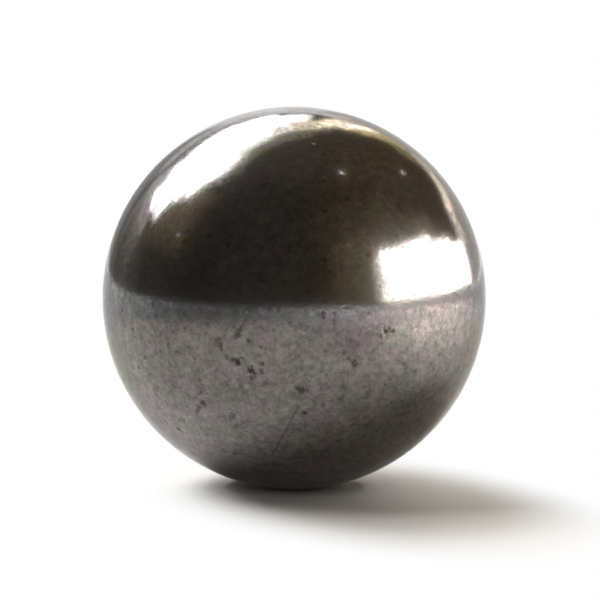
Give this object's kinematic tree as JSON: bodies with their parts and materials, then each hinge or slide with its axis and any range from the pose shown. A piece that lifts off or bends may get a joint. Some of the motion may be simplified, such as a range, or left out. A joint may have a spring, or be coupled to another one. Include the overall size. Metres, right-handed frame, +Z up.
{
  "type": "ball fishing weight",
  "caption": "Solid polished tungsten-alloy ball with a finely pitted mirror finish, a compact fishing weight held by its round surface in a lure pocket, cage or mould.",
  "frame": {"origin": "centre of the ball", "axes": "+Z up as the ball lies in the picture, with -Y towards the picture's camera; every axis through the centre is alike"},
  "size_m": [0.018, 0.018, 0.018],
  "materials": {
    "tungsten_alloy": "barrel-polished sintered tungsten heavy alloy, dark grey, mirror-bright with fine sinter pits and a few scratches"
  },
  "bodies": {
    "root": {"weight_ball": "tungsten_alloy"}
  },
  "joints": []
}
